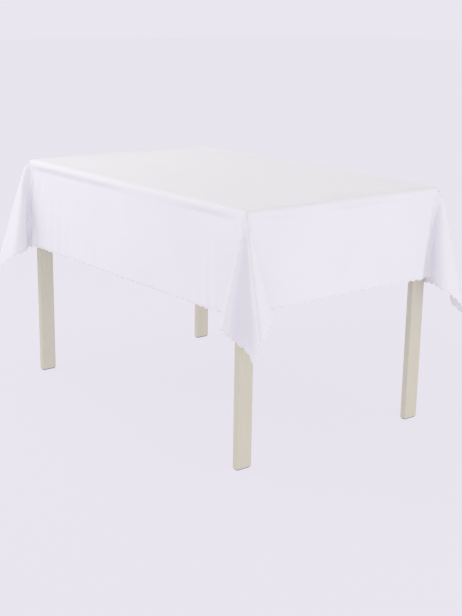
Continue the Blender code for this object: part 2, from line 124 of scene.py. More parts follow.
half = FLOOR_SIZE / 2
floor_corners = [(-half, -half, 0), (half, -half, 0), (half, half, 0), (-half, half, 0)]
floor_mesh = bpy.data.meshes.new("floor")
floor_mesh.from_pydata(floor_corners, [], [(0, 1, 2, 3)])
floor = bpy.data.objects.new("floor", floor_mesh)
scene.collection.objects.link(floor)
paper = bpy.data.materials.new("backdrop_paper")
paper.use_nodes = True
tree = paper.node_tree
tree.nodes.clear()
glow = add(tree, "ShaderNodeEmission", {"Color": BACKDROP, "Strength": FLOOR_GLOW})
matt = add(tree, "ShaderNodeBsdfDiffuse", {"Color": FLOOR_PAPER})
blend = add(tree, "ShaderNodeMixShader", {0: FLOOR_SHADED, 1: glow.outputs[0], 2: matt.outputs[0]})
add(tree, "ShaderNodeOutputMaterial", {"Surface": blend.outputs[0]})
floor_mesh.materials.append(paper)
print("floor", FLOOR_SIZE, "metres across")

# %% The sky
HORIZON, OVERHEAD = 0.98, 0.70
SKY = linear("FFFDFD")

world = bpy.data.worlds.new("studio")
scene.world = world
world.use_nodes = True
tree = world.node_tree
tree.nodes.clear()
direction = add(tree, "ShaderNodeTexCoord")
height = add(tree, "ShaderNodeSeparateXYZ", {0: direction.outputs["Generated"]})
level = add(tree, "ShaderNodeMapRange", {0: height.outputs["Z"], 3: HORIZON, 4: OVERHEAD})
light = add(tree, "ShaderNodeBackground", {"Color": SKY, "Strength": level.outputs[0]})
seen = add(tree, "ShaderNodeBackground", {"Color": BACKDROP, "Strength": 1.0})
path = add(tree, "ShaderNodeLightPath")
choice = {0: path.outputs["Is Camera Ray"], 1: light.outputs[0], 2: seen.outputs[0]}
either = add(tree, "ShaderNodeMixShader", choice)
add(tree, "ShaderNodeOutputWorld", {"Surface": either.outputs[0]})
print("sky strength from", HORIZON, "at the horizon to", OVERHEAD, "overhead")


# %% The soft panels
def soft_panel(name, place, aim, size, watts):
    lamp = bpy.data.lights.new(name, "AREA")
    lamp.energy = watts
    lamp.size = size
    panel = bpy.data.objects.new(name, lamp)
    panel.location = place
    panel.rotation_euler = (Vector(aim) - Vector(place)).to_track_quat("-Z", "Y").to_euler()
    scene.collection.objects.link(panel)
    print(name, "of", size, "m gives", watts, "W")


soft_panel("panel_left", (-1.5, -1.4, 2.2), (0, 0, 0.6), 1.4, 11)
soft_panel("panel_right", (2.6, 0.3, 0.3), (0.5, 0, 0.2), 1.2, 5)

# %% [markdown]
# ## The camera
#
# It stands beyond the near corner, at about eye height for a seated person, and looks
# slightly down. The three angles turn it in the usual order of a tripod: pan, tilt, roll.

# %% Place the camera
CAMERA_PLACE = Vector((2.915, -2.276, 1.313))
PAN, TILT, ROLL = (math.radians(angle) for angle in (38.6, 15.3, 0.9))
SENSOR_MM, LENS_MM = 36, 65.9
camera_data = bpy.data.cameras.new("camera")
camera_data.sensor_width = SENSOR_MM
camera_data.lens = LENS_MM
camera = bpy.data.objects.new("camera", camera_data)
ahead = Vector((-math.cos(PAN) * math.cos(TILT), math.sin(PAN) * math.cos(TILT), -math.sin(TILT)))
level_right = ahead.cross(Vector((0, 0, 1))).normalized()
level_up = level_right.cross(ahead)
right = level_right * math.cos(ROLL) + level_up * math.sin(ROLL)
up = level_up * math.cos(ROLL) - level_right * math.sin(ROLL)
looking = Matrix((right, up, -ahead)).transposed().to_4x4()
camera.matrix_world = Matrix.Translation(CAMERA_PLACE) @ looking
scene.collection.objects.link(camera)
scene.camera = camera
print("camera looks along", [round(c, 3) for c in ahead])

# %% [markdown]
# ## The cut of the cloth
#
# Cloth keeps its own flat map wherever it goes: every thread crossing has a place on the
# cutting table. The grid below is that map. Its lines fall exactly on the four lines where
# the cloth folds over the board, so that the fold stays crisp, and every two cells along an
# edge make one scallop of about 29 mm.

# %% Rule the flat grid
CELLS_TOP_X, CELLS_TOP_Y = 82, 52
CELLS_DROP_X, CELLS_DROP_Y = 20, 21


def ruled(fold, edge, cells_top, cells_drop):
    top = np.linspace(-fold, fold, cells_top + 1)
    drop = np.linspace(fold, edge, cells_drop + 1)[1:]
    return np.concatenate([-drop[::-1], top, drop])


lines_x = ruled(FOLD_X, CLOTH_LENGTH / 2, CELLS_TOP_X, CELLS_DROP_X)
lines_y = ruled(FOLD_Y, CLOTH_WIDTH / 2, CELLS_TOP_Y, CELLS_DROP_Y)
flat_x, flat_y = np.meshgrid(lines_x, lines_y)
print("flat grid of", lines_x.size, "by", lines_y.size, "points")

# %% [markdown]
# ## How a corner falls
#
# Beyond a corner of the board the cloth has 270 degrees of rays but only 90 degrees of edge
# to fall from. The spare cloth swings out as an ear with a pleat on each side. Each ray from
# the corner stays as long as it was cut, and only its direction is arranged: the
# stations below say how far it leans from straight down, in degrees, across the ear and
# outwards, as the ray turns from the long side to the end. Rounding the path off by cutting
# its corners five times gives a curve that cloth can follow. No two ears fall alike, so each
# has its own stations. The near one is turned a little away from the diagonal.

# %% Stations of the four ears
NEAR_EAR = [
    (-0.5, -3), (-2, 3), (-14, 1), (-11, 12), (1, 1), (6, 20),
    (9, 19), (15, 8), (15, 1), (5, 5), (1.5, -3),
]
LEFT_EAR = [
    (-2.5, 1), (0, -1.5), (-2, 2.5), (-9, 1), (-15, 6), (-8, 13),
    (0, 21), (3, 12), (11, 13), (13, 4), (2, 4), (1, -3),
]
RIGHT_EAR = [
    (-1, -3), (-2, 4), (-13, 4), (-11, 12), (-3, 9), (0, 17),
    (9, 13), (13, 5), (5, 0), (-2, -1), (2, -7), (8, -5),
]
BACK_EAR = [
    (-1, -3), (-2, 4), (-13, 4), (-11, 15), (-3, 10), (0, 20),
    (3, 10), (11, 15), (13, 4), (2, 4), (1, -3),
]
DIAGONAL = 45.0
NEAR_TURN = 38.6
# corner: its stations, its turn from the end's face, and the lean past the long side and end
EARS = {
    (1, -1): (NEAR_EAR, NEAR_TURN, 10, 7),
    (-1, -1): (LEFT_EAR, DIAGONAL, 10, 10),
    (1, 1): (RIGHT_EAR, DIAGONAL, 10, 14),
    (-1, 1): (BACK_EAR, DIAGONAL, 10, 10),
}
RELEASE = 12.0    # degrees over which the hanging panel lets go of its straight fall
ALL_ROUND = 270.0    # degrees of rays past a corner, from the long edge to the end's edge
print("stations:", [len(ear[0]) for ear in EARS.values()])


# %% From stations to rays
def rounded_path(points, passes=5):
    points = np.array(points, float)
    for _ in range(passes):
        near = 0.75 * points[:-1] + 0.25 * points[1:]
        far = 0.25 * points[:-1] + 0.75 * points[1:]
        middle = np.stack([near, far], 1).reshape(-1, 2)
        points = np.vstack([points[:1], middle, points[-1:]])
    return points


def ear_rays(end, side, stations, turn, past_long, past_end):
    """Each ray's angle on the cutting table, from the long edge round to the end, and its
    direction when draped."""
    turn = math.radians(turn)
    outward = np.array([end * math.cos(turn), side * math.sin(turn)])
    across = np.array([end * math.sin(turn), -side * math.cos(turn)])
    start = [(-end * lean, 0.0) for lean in (90.0, past_long + RELEASE, past_long)]
    finish = [(0.0, -side * lean) for lean in (past_end, past_end + RELEASE, 90.0)]
    lean = rounded_path(start + [a * across + t * outward for a, t in stations] + finish)
    size = np.hypot(*lean.T)
    level = lean * (np.sin(np.radians(size)) / np.maximum(size, 1e-9))[:, None]
    rays = np.column_stack([level, -np.cos(np.radians(size))])
    step = np.degrees(np.arccos(np.clip((rays[1:] * rays[:-1]).sum(1), -1, 1)))
    travelled = np.concatenate([[0], np.cumsum(step)])
    first = 90 - past_long - RELEASE
    last = 90 - past_end - RELEASE
    spare = (ALL_ROUND - first - last) / (travelled[-1] - last - first)
    angle = first + (travelled - first) * spare
    angle = np.where(travelled < first, travelled, angle)
    to_go = travelled[-1] - travelled
    angle = np.where(to_go < last, ALL_ROUND - to_go, angle)
    return angle, rays, travelled[-1]


rounded = rounded_path(NEAR_EAR)
print("rounding turns", len(NEAR_EAR), "stations of the near ear into", len(rounded))

# %% Lay every point of the grid along its ray
draped = np.stack([flat_x, flat_y, np.full_like(flat_x, FOLD_Z)], -1)
for (end, side), (stations, turn, past_long, past_end) in EARS.items():
    angle, rays, total = ear_rays(end, side, stations, turn, past_long, past_end)
    over_end = flat_x * end - FOLD_X
    over_side = flat_y * side - FOLD_Y
    hanging = (flat_x * end >= 0) & (flat_y * side >= 0) & ((over_end > 0) | (over_side > 0))
    length = np.hypot(over_end[hanging], over_side[hanging])
    turned = np.degrees(np.arctan2(over_side[hanging], -over_end[hanging])) % 360
    ray = np.stack([np.interp(turned, angle, rays[:, axis]) for axis in range(3)], -1)
    draped[hanging] = np.array([end * FOLD_X, side * FOLD_Y, FOLD_Z]) + length[:, None] * ray
    print("ear at", (end, side), "uses", round(total), "of 270 degrees")

# %% [markdown]
# ## Letting it settle
#
# The listed stations give the ears their places, but not the soft swell between them. Blender's
# Cloth adds that. Its rest shape is the flat cut, so the threads pull back to their real
# length. The top is held still, and a gentle hold on all that hangs keeps the ears from
# swinging to another fold. The board and legs are colliders, made smaller by the gap that
# Cloth keeps, so that the sheet ends up lying on the real ones.

# %% Blocks for the cloth to fall on
GAP = 0.002


def collider(name):
    low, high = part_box(name)
    a = [c + GAP for c in low]
    b = [c - GAP for c in high]
    corners = [(x, y, z) for x in (a[0], b[0]) for y in (a[1], b[1]) for z in (a[2], b[2])]
    faces = [(0, 1, 3, 2), (4, 6, 7, 5), (0, 4, 5, 1), (2, 3, 7, 6), (0, 2, 6, 4), (1, 5, 7, 3)]
    mesh = bpy.data.meshes.new(name + "_collider")
    mesh.from_pydata(corners, [], faces)
    block = bpy.data.objects.new(name + "_collider", mesh)
    scene.collection.objects.link(block)
    block.modifiers.new("collision", "COLLISION")
    block.collision.thickness_outer = GAP
    block.collision.thickness_inner = 0.01
    block.collision.cloth_friction = 15
    return block


def collider_boxes():
    legs = [name for name in sorted(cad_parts) if name.startswith("leg_")]
    return [collider(name) for name in ["tabletop"] + legs]


print("the cloth will fall on the board and on its legs, less", GAP * 1000, "mm")

# %% A sheet to simulate, and how firmly each part of it is held
HOLD_TOP = 1.0
HOLD_PANELS = 0.3
HOLD_EARS = 0.45
TOP_MARGIN = 0.03    # the top is held up to this far from its folds


def sheet_to_settle(points):
    number = np.arange(flat_x.size).reshape(flat_x.shape)
    cells = [number[:-1, :-1], number[:-1, 1:], number[1:, 1:], number[1:, :-1]]
    mesh = bpy.data.meshes.new("settling")
    faces = np.stack(cells, -1).reshape(-1, 4)
    mesh.from_pydata(points.reshape(-1, 3).tolist(), [], faces.tolist())
    sheet = bpy.data.objects.new("settling", mesh)
    scene.collection.objects.link(sheet)
    sheet.shape_key_add(name="arranged")
    cut = sheet.shape_key_add(name="cut")
    flat = np.stack([flat_x, flat_y, np.full_like(flat_x, FOLD_Z)], -1)
    cut.data.foreach_set("co", flat.astype(np.float32).ravel())
    past_fold_x = np.abs(flat_x) - FOLD_X
    past_fold_y = np.abs(flat_y) - FOLD_Y
    on_top = (past_fold_x < -TOP_MARGIN) & (past_fold_y < -TOP_MARGIN)
    in_ear = (past_fold_x > 0) & (past_fold_y > 0)
    hold = sheet.vertex_groups.new(name="hold")
    hold.add(number[on_top].tolist(), HOLD_TOP, "REPLACE")
    hold.add(number[~on_top].tolist(), HOLD_PANELS, "REPLACE")
    hold.add(number[in_ear].tolist(), HOLD_EARS, "REPLACE")
    return sheet, cut


print("held:", HOLD_TOP, "on top,", HOLD_PANELS, "below,", HOLD_EARS, "in the ears")

# %% The fabric's own behaviour
SETTLE_FRAMES = 30


def settle(points):
    sheet, cut = sheet_to_settle(points)
    cloth = sheet.modifiers.new("cloth", "CLOTH")
    fabric = cloth.settings
    fabric.rest_shape_key = cut
    fabric.vertex_group_mass = "hold"
    fabric.pin_stiffness = 1.0
    fabric.quality = 10
    fabric.mass = 0.3
    fabric.tension_stiffness = fabric.compression_stiffness = 15
    fabric.shear_stiffness = 5
    fabric.bending_stiffness = 1.2
    fabric.tension_damping = fabric.compression_damping = fabric.shear_damping = 5
    fabric.bending_damping = 0.5
    fabric.air_damping = 1.0
    touch = cloth.collision_settings
    touch.distance_min = GAP
    touch.collision_quality = 3
    touch.use_self_collision = True
    touch.self_distance_min = 0.003
    touch.self_friction = 5
    cloth.point_cache.frame_end = SETTLE_FRAMES + 1
    for frame_number in range(1, SETTLE_FRAMES + 1):
        scene.frame_set(frame_number)
    evaluated = sheet.evaluated_get(bpy.context.evaluated_depsgraph_get())
    settled = np.empty(points.size, np.float32)
    evaluated.data.vertices.foreach_get("co", settled)
    bpy.data.objects.remove(sheet)
    return settled.reshape(points.shape).astype(float)


blocks = collider_boxes()
draped = settle(draped)
for block in blocks:
    bpy.data.objects.remove(block)
scene.frame_set(1)
print("draped cloth spans", draped.min((0, 1)).round(3), "to", draped.max((0, 1)).round(3))

# %% [markdown]
# ## Reading the drape at any point of the cut
#
# The settled grid is coarse. A finer mesh reads it through a curve that passes through every
# coarse point (Catmull-Rom), first along the rows and then along the columns. Any place on
# the cutting table can be looked up, which is what scallops and stitches need.


# %% A lookup from the flat cut to the drape
def one_more_row(points):
    """Adds a row before the first and after the last, in line with their neighbours."""
    before = 2 * points[:1] - points[1:2]
    after = 2 * points[-1:] - points[-2:-1]
    return np.concatenate([before, points, after], 0)


lattice = one_more_row(draped)
lattice = one_more_row(lattice.swapaxes(0, 1)).swapaxes(0, 1)


def weights(t):
    return np.stack([
        ((-t + 2) * t - 1) * t / 2,
        ((3 * t - 5) * t * t + 2) / 2,
        ((-3 * t + 4) * t + 1) * t / 2,
        (t - 1) * t * t / 2,
    ], -1)


def on_drape(x, y):
    column = np.interp(x, lines_x, np.arange(lines_x.size))
    row = np.interp(y, lines_y, np.arange(lines_y.size))
    left = np.minimum(column.astype(int), lines_x.size - 2)
    below = np.minimum(row.astype(int), lines_y.size - 2)
    along = weights(column - left)
    up_by = weights(row - below)
    total = 0
    for i in range(4):
        for j in range(4):
            share = along[..., i] * up_by[..., j]
            total = total + share[..., None] * lattice[below + j, left + i]
    return total


centre = np.zeros(1)
print("middle of the cloth lies at", on_drape(centre, centre).round(4)[0])

# %% [markdown]
# ## Scallops
#
# The edge is cut in shallow round lobes with a sharp notch between them, and one lobe sits on
# each corner, which is itself cut round. Both are moves on the flat map: the outermost cells
# slide inwards by the depth of the notch, and the square corner is squeezed into a disc.

# %% Rule a finer grid, in half cells
FINE = 2    # fine cells along each coarse one
HALVES = 2 * FINE    # half cells along each coarse cell
PER_SCALLOP = 2 * HALVES    # a scallop is two coarse cells


def finer(lines):
    halves = np.arange((lines.size - 1) * HALVES + 1)
    return np.interp(halves / HALVES, np.arange(lines.size), lines)


half_x, half_y = finer(lines_x), finer(lines_y)
print("fine cells:", half_x.size // 2, "by", half_y.size // 2)

# %% Cut the edge
SCALLOP_DEPTH = 0.0055
CORNER_ROUND = 0.022
SPREAD_CELLS = 3    # fine cells that share the move of the edge


def cut_edge(i, j):
    """Half-cell numbers to places on the cutting table."""
    x, y = half_x[i], half_y[j]
    notch_x = SCALLOP_DEPTH * (1 - np.abs(np.cos(math.pi * i / PER_SCALLOP)))
    notch_y = SCALLOP_DEPTH * (1 - np.abs(np.cos(math.pi * j / PER_SCALLOP)))
    from_end = np.minimum(i, half_x.size - 1 - i) / (2 * SPREAD_CELLS)
    from_side = np.minimum(j, half_y.size - 1 - j) / (2 * SPREAD_CELLS)
    x = x - np.sign(x) * notch_y * np.clip(1 - from_end, 0, 1) ** 2
    y = y - np.sign(y) * notch_x * np.clip(1 - from_side, 0, 1) ** 2
    p = (np.abs(x) - (CLOTH_LENGTH / 2 - CORNER_ROUND)) / CORNER_ROUND
    q = (np.abs(y) - (CLOTH_WIDTH / 2 - CORNER_ROUND)) / CORNER_ROUND
    corner = (p > 0) & (q > 0)
    p_disc = p * np.sqrt(np.maximum(1 - q * q / 2, 0))
    q_disc = q * np.sqrt(np.maximum(1 - p * p / 2, 0))
    x = np.where(corner, np.sign(x) * (CLOTH_LENGTH / 2 + (p_disc - 1) * CORNER_ROUND), x)
    y = np.where(corner, np.sign(y) * (CLOTH_WIDTH / 2 + (q_disc - 1) * CORNER_ROUND), y)
    return x, y


tip_x, tip_y = cut_edge(np.zeros(1, int), np.zeros(1, int))
print("the rounded corner reaches", tip_x.round(4)[0], tip_y.round(4)[0])

# %% Walk round the rim, half cell by half cell
rim_i = np.concatenate([
    np.arange(half_x.size - 1),
    np.full(half_y.size - 1, half_x.size - 1),
    np.arange(half_x.size - 1, 0, -1),
    np.zeros(half_y.size - 1, int),
])
rim_j = np.concatenate([
    np.zeros(half_x.size - 1, int),
    np.arange(half_y.size - 1),
    np.full(half_x.size - 1, half_y.size - 1),
    np.arange(half_y.size - 1, 0, -1),
])
print("scallops round the cloth:", rim_i.size // PER_SCALLOP)

# %% [markdown]
# ## The sheet
#
# The fine mesh has a point every 7 mm, and one more half way along each cell of the edge, so
# that a lobe has eight sides. A little unevenness grows towards the hem, as it does in any
# cloth that has been ironed and then carried. Solidify gives the sheet its two faces.

# %% Slow unevenness
UNEVEN = 0.0022
UNEVEN_REACH = 0.25    # it grows from the fold to this far below it
# each wave's length, its direction and its start
WAVES = [(0.31, 0.4, 1.1), (0.23, 2.0, 4.2), (0.17, 1.2, 2.6), (0.41, 2.7, 0.3)]


def waves(x, y):
    """From -1 to 1, the same each run."""
    total = 0
    for size, angle, shift in WAVES:
        along = x * math.cos(angle) + y * math.sin(angle)
        total = total + np.sin(along * 2 * math.pi / size + shift)
    return total / len(WAVES)


print("waves of", [wave[0] for wave in WAVES], "metres")

# %% Place any point of the cut
SWELL = 0.015    # how far the ears puff out beyond the settled drape
SWELL_START = 0.02
EAR_LENGTH = math.hypot(CLOTH_LENGTH / 2 - FOLD_X, CLOTH_WIDTH / 2 - FOLD_Y)
FACING_STEP = 0.004    # the sheet's facing is taken between points this far apart


def placed(x, y):
    """A place on the cutting table, draped, with its unevenness and its facing.

    Exactly on the two middle lines the sign is 0, so there both come out as zero."""
    point = on_drape(x, y)
    inward_x, inward_y = np.sign(x) * FACING_STEP, np.sign(y) * FACING_STEP
    along = (point - on_drape(x - inward_x, y)) * np.sign(x)[..., None]
    over = (point - on_drape(x, y - inward_y)) * np.sign(y)[..., None]
    facing = np.cross(along, over)
    facing /= np.maximum(np.linalg.norm(facing, axis=-1), 1e-12)[..., None]
    below_fold = np.maximum(np.abs(x) - FOLD_X, np.abs(y) - FOLD_Y) / UNEVEN_REACH
    lift = UNEVEN * np.clip(below_fold, 0, 1) * waves(x, y)
    past_end = np.maximum(np.abs(x) - FOLD_X, 0)
    past_side = np.maximum(np.abs(y) - FOLD_Y, 0)
    reach = np.hypot(past_end, past_side)
    share = 2 * past_end * past_side / np.maximum(reach**2, 1e-9)
    fade = (1 - np.exp(-reach / SWELL_START)) * np.clip(1 - reach / EAR_LENGTH, 0, 1)
    swell = SWELL * share * fade
    outward = np.stack([np.sign(x), np.sign(y), np.zeros_like(x)], -1) / math.sqrt(2)
    return point + facing * lift[..., None] + outward * swell[..., None], facing


print("an ear is", round(EAR_LENGTH, 3), "m long on the diagonal")

# %% Points of the sheet, and its cells
columns, rows = half_x.size // 2 + 1, half_y.size // 2 + 1
grid_i, grid_j = np.meshgrid(np.arange(columns) * 2, np.arange(rows) * 2)
number = np.arange(rows * columns).reshape(rows, columns)
cut_x, cut_y = cut_edge(grid_i.ravel(), grid_j.ravel())
middle = (rim_i % 2 == 1) | (rim_j % 2 == 1)
rim_x, rim_y = cut_edge(rim_i, rim_j)
all_x = np.concatenate([cut_x, rim_x[middle]])
all_y = np.concatenate([cut_y, rim_y[middle]])
points, _ = placed(all_x, all_y)

between = {}
for k, (i, j) in enumerate(zip(rim_i[middle], rim_j[middle])):
    between[(int(i), int(j))] = number.size + k
faces = []
for j in range(rows - 1):
    for i in range(columns - 1):
        loop = []
        ring = [(i, j), (i + 1, j), (i + 1, j + 1), (i, j + 1)]
        for (a, b), (c, d) in zip(ring, ring[1:] + ring[:1]):
            loop.append(int(number[b, a]))
            if (a + c, b + d) in between:
                loop.append(between[(a + c, b + d)])
        faces.append(loop)
print("sheet of", len(faces), "cells")

# %% The sheet's mesh, its flat map and its thickness
UV_METRES = 2.0    # one unit of the UV map is this much cloth

sheet_mesh = bpy.data.meshes.new("satin_cloth")
sheet_mesh.from_pydata(points.tolist(), [], faces)
sheet_mesh.shade_smooth()
flat_map = sheet_mesh.uv_layers.new(name="cut")
corner_vertex = np.empty(len(sheet_mesh.loops), np.int32)
sheet_mesh.loops.foreach_get("vertex_index", corner_vertex)
on_table = np.stack([all_x + CLOTH_LENGTH / 2, all_y + CLOTH_WIDTH / 2], -1) / UV_METRES
flat_map.data.foreach_set("uv", on_table[corner_vertex].astype(np.float32).ravel())
cloth = bpy.data.objects.new("satin_cloth", sheet_mesh)
scene.collection.objects.link(cloth)
skin = cloth.modifiers.new("two faces", "SOLIDIFY")
skin.thickness = CLOTH_THICKNESS
skin.offset = 0
print("flat map of", len(sheet_mesh.loops), "corners,", CLOTH_THICKNESS * 1000, "mm thick")

# %% [markdown]
# ## The overlocked edge
#
# A close row of slanting stitches wraps the raw edge. It repeats well over two thousand times
# along one path, so Geometry Nodes make it: the path is walked at the stitch spacing, and a
# small bead of thread, longer across the edge than along it, is set at each step. A thin cord
# runs inside the beads, because overlocked edges are filled with thread. The sizes are half
# lengths, because a bead is a ball of radius 1 that is scaled.

# %% A node tree for stitches along an edge
STITCH_SPACING = 0.0024
STITCH_ACROSS = 0.0017
STITCH_ALONG = 0.0014
STITCH_DEPTH = 0.0006
STITCH_SLANT = 0.35
CORD_RADIUS = 0.0006


def stitch_tree():
    tree = bpy.data.node_groups.new("stitches_along_edge", "GeometryNodeTree")
    face = tree.interface
    face.new_socket("Edge", in_out="INPUT", socket_type="NodeSocketGeometry")
    for name in ("Spacing", "Across", "Along", "Depth", "Slant", "Cord radius"):
        face.new_socket(name, in_out="INPUT", socket_type="NodeSocketFloat")
    face.new_socket("Thread", in_out="INPUT", socket_type="NodeSocketMaterial")
    face.new_socket("Stitches", in_out="OUTPUT", socket_type="NodeSocketGeometry")
    given = add(tree, "NodeGroupInput").outputs
    curve = add(tree, "GeometryNodeMeshToCurve", {"Mesh": given["Edge"]})
    pace = {"Curve": curve.outputs[0], "Length": given["Spacing"]}
    walked = add(tree, "GeometryNodeResampleCurve", pace, mode="LENGTH")

    # a bead points out of the edge, slanted a little forwards along it
    outward = add(tree, "GeometryNodeInputNamedAttribute", {"Name": "outward"},
                  data_type="FLOAT_VECTOR")
    tangent = add(tree, "GeometryNodeInputTangent")
    forwards = {0: tangent.outputs[0], "Scale": given["Slant"]}
    leaning = add(tree, "ShaderNodeVectorMath", forwards, operation="SCALE")
    both = {0: outward.outputs[0], 1: leaning.outputs[0]}
    reach = add(tree, "ShaderNodeVectorMath", both, operation="ADD")
    aim = {"Vector": reach.outputs[0]}
    aimed = add(tree, "FunctionNodeAlignRotationToVector", aim, axis="Z")
    roll = {"Rotation": aimed.outputs[0], "Vector": tangent.outputs[0]}
    turned = add(tree, "FunctionNodeAlignRotationToVector", roll, axis="X", pivot_axis="Z")

    bead = add(tree, "GeometryNodeMeshUVSphere", {"Segments": 6, "Rings": 5, "Radius": 1.0})
    halves = {"X": given["Along"], "Y": given["Depth"], "Z": given["Across"]}
    size = add(tree, "ShaderNodeCombineXYZ", halves)
    beads = add(tree, "GeometryNodeInstanceOnPoints", {
        "Points": walked.outputs[0], "Instance": bead.outputs[0],
        "Rotation": turned.outputs[0], "Scale": size.outputs[0],
    })
    round_profile = {"Resolution": 5, "Radius": given["Cord radius"]}
    ring = add(tree, "GeometryNodeCurvePrimitiveCircle", round_profile)
    along = {"Curve": curve.outputs[0], "Profile Curve": ring.outputs[0]}
    cord = add(tree, "GeometryNodeCurveToMesh", along)

    joined = add(tree, "GeometryNodeJoinGeometry")
    tree.links.new(cord.outputs[0], joined.inputs[0])
    tree.links.new(beads.outputs[0], joined.inputs[0])
    real = add(tree, "GeometryNodeRealizeInstances", {"Geometry": joined.outputs[0]})
    smooth = add(tree, "GeometryNodeSetShadeSmooth", {"Geometry": real.outputs[0]})
    coloured = {"Geometry": smooth.outputs[0], "Material": given["Thread"]}
    finish = add(tree, "GeometryNodeSetMaterial", coloured)
    add(tree, "NodeGroupOutput", {"Stitches": finish.outputs[0]})
    return tree


stitches = stitch_tree()
print("stitch tree of", len(stitches.nodes), "nodes")

# %% [markdown]
# ## White satin and its thread
#
# The cloth is filament polyester woven as a light satin: white with a faint lilac cast, a
# soft broad gloss from the floating threads, and a slight fuzz that lightens it at the rim.
# Real threads lie 0.3 mm apart, which no picture of a whole table can show, so the weave is
# drawn 1.5 mm apart. Slow ironing waves run under it. The stitching is the same fibre twisted
# into thread, so it is a little whiter and less glossy.

# %% Start a finish
def new_finish(name):
    """A new material, its node tree, and the one shader that makes its surface."""
    material = bpy.data.materials.new(name)
    material.use_nodes = True
    tree = material.node_tree
    tree.nodes.clear()
    shader = add(tree, "ShaderNodeBsdfPrincipled")
    add(tree, "ShaderNodeOutputMaterial", {"Surface": shader.outputs[0]})
    return material, tree, shader


print("each finish starts from an empty tree and one shader")

# %% Woven polyester satin
WEAVE = 0.0015
WEFT_SHARE = 0.8    # the weft lies a little closer than the warp
IRONING = 0.16
BANDS_PER_METRE = 2 * math.pi / 20    # a wave texture at this scale has one band per metre
SATIN_FIRST, SATIN_SECOND = linear("F3F2F8"), linear("F8F6FA")

satin, tree, shader = new_finish("woven_polyester_satin")
uv = add(tree, "ShaderNodeUVMap", uv_map="cut")
in_metres = {"Vector": uv.outputs[0], "Scale": (UV_METRES, UV_METRES, 1.0)}
metres = add(tree, "ShaderNodeMapping", in_metres)
bands = {"Vector": metres.outputs[0], "Distortion": 0.6, "Detail": 1.0}
bands["Scale"] = BANDS_PER_METRE / WEAVE
warp = add(tree, "ShaderNodeTexWave", bands, wave_type="BANDS", bands_direction="X")
bands["Scale"] = BANDS_PER_METRE / (WEAVE * WEFT_SHARE)
weft = add(tree, "ShaderNodeTexWave", bands, wave_type="BANDS", bands_direction="Y")
crossing = {0: warp.outputs["Fac"], 1: weft.outputs["Fac"]}
weave = add(tree, "ShaderNodeMath", crossing, operation="MULTIPLY")
ironing = {"Vector": metres.outputs[0], "Scale": 1 / IRONING, "Detail": 3.0}
slow = add(tree, "ShaderNodeTexNoise", ironing)
tones = {0: slow.outputs["Fac"], 6: SATIN_FIRST, 7: SATIN_SECOND}
tone = add(tree, "ShaderNodeMix", tones, data_type="RGBA")
tree.links.new(tone.outputs[2], shader.inputs["Base Color"])
gloss = add(tree, "ShaderNodeMapRange", {0: slow.outputs["Fac"], 3: 0.46, 4: 0.58})
tree.links.new(gloss.outputs[0], shader.inputs["Roughness"])
waved = {"Height": slow.outputs["Fac"], "Strength": 0.25, "Distance": 0.006}
ironed = add(tree, "ShaderNodeBump", waved)
woven = {"Height": weave.outputs[0], "Normal": ironed.outputs[0]}
woven |= {"Strength": 0.25, "Distance": 0.0003}
threads = add(tree, "ShaderNodeBump", woven)
tree.links.new(threads.outputs[0], shader.inputs["Normal"])
shader.inputs["Sheen Weight"].default_value = 0.2
shader.inputs["Sheen Roughness"].default_value = 0.4
shader.inputs["Specular IOR Level"].default_value = 0.35
sheet_mesh.materials.append(satin)
print("finish:", satin.name)

# %% Spun polyester thread
TWIST = 0.0011

thread, tree, shader = new_finish("spun_polyester_thread")
place = add(tree, "ShaderNodeTexCoord")
twisting = {"Vector": place.outputs["Object"], "Scale": 1 / TWIST, "Detail": 2.0}
twist = add(tree, "ShaderNodeTexNoise", twisting)
tones = {0: twist.outputs["Fac"], 6: linear("FBFAFC"), 7: linear("FFFFFF")}
tone = add(tree, "ShaderNodeMix", tones, data_type="RGBA")
tree.links.new(tone.outputs[2], shader.inputs["Base Color"])
plies = {"Height": twist.outputs["Fac"], "Strength": 0.4, "Distance": 0.0002}
ply = add(tree, "ShaderNodeBump", plies)
tree.links.new(ply.outputs[0], shader.inputs["Normal"])
shader.inputs["Roughness"].default_value = 0.62
shader.inputs["Sheen Weight"].default_value = 0.2
print("finish:", thread.name)

# %% [markdown]
# ## Sewing the edge
#
# The tree above needs a path to walk. It is the rim of the cut, draped like the rest, and
# each of its points also says which way leads out of the cloth. The result is turned into a
# plain mesh, so that nothing is left to work out later.

# %% Sew the edge
rim_points, rim_facing = placed(rim_x, rim_y)
ahead_on_rim = np.roll(rim_points, -1, 0) - np.roll(rim_points, 1, 0)
outward = np.cross(ahead_on_rim, rim_facing)
outward /= np.linalg.norm(outward, axis=1)[:, None]
edge_mesh = bpy.data.meshes.new("edge_path")
count = len(rim_points)
links = [(k, (k + 1) % count) for k in range(count)]
edge_mesh.from_pydata(rim_points.tolist(), links, [])
attribute = edge_mesh.attributes.new("outward", "FLOAT_VECTOR", "POINT")
attribute.data.foreach_set("vector", outward.astype(np.float32).ravel())
edge = bpy.data.objects.new("edge_path", edge_mesh)
scene.collection.objects.link(edge)
sewing = edge.modifiers.new("stitches", "NODES")
sewing.node_group = stitches
sizes = {
    "Spacing": STITCH_SPACING,
    "Across": STITCH_ACROSS,
    "Along": STITCH_ALONG,
    "Depth": STITCH_DEPTH,
    "Slant": STITCH_SLANT,
    "Cord radius": CORD_RADIUS,
    "Thread": thread,
}
for item in sewing.node_group.interface.items_tree:
    if item.name in sizes:
        sewing[item.identifier] = sizes[item.name]
evaluated = edge.evaluated_get(bpy.context.evaluated_depsgraph_get())
edging_mesh = bpy.data.meshes.new_from_object(evaluated)
edging_mesh.name = "overlocked_edge"
edging = bpy.data.objects.new("overlocked_edge", edging_mesh)
scene.collection.objects.link(edging)
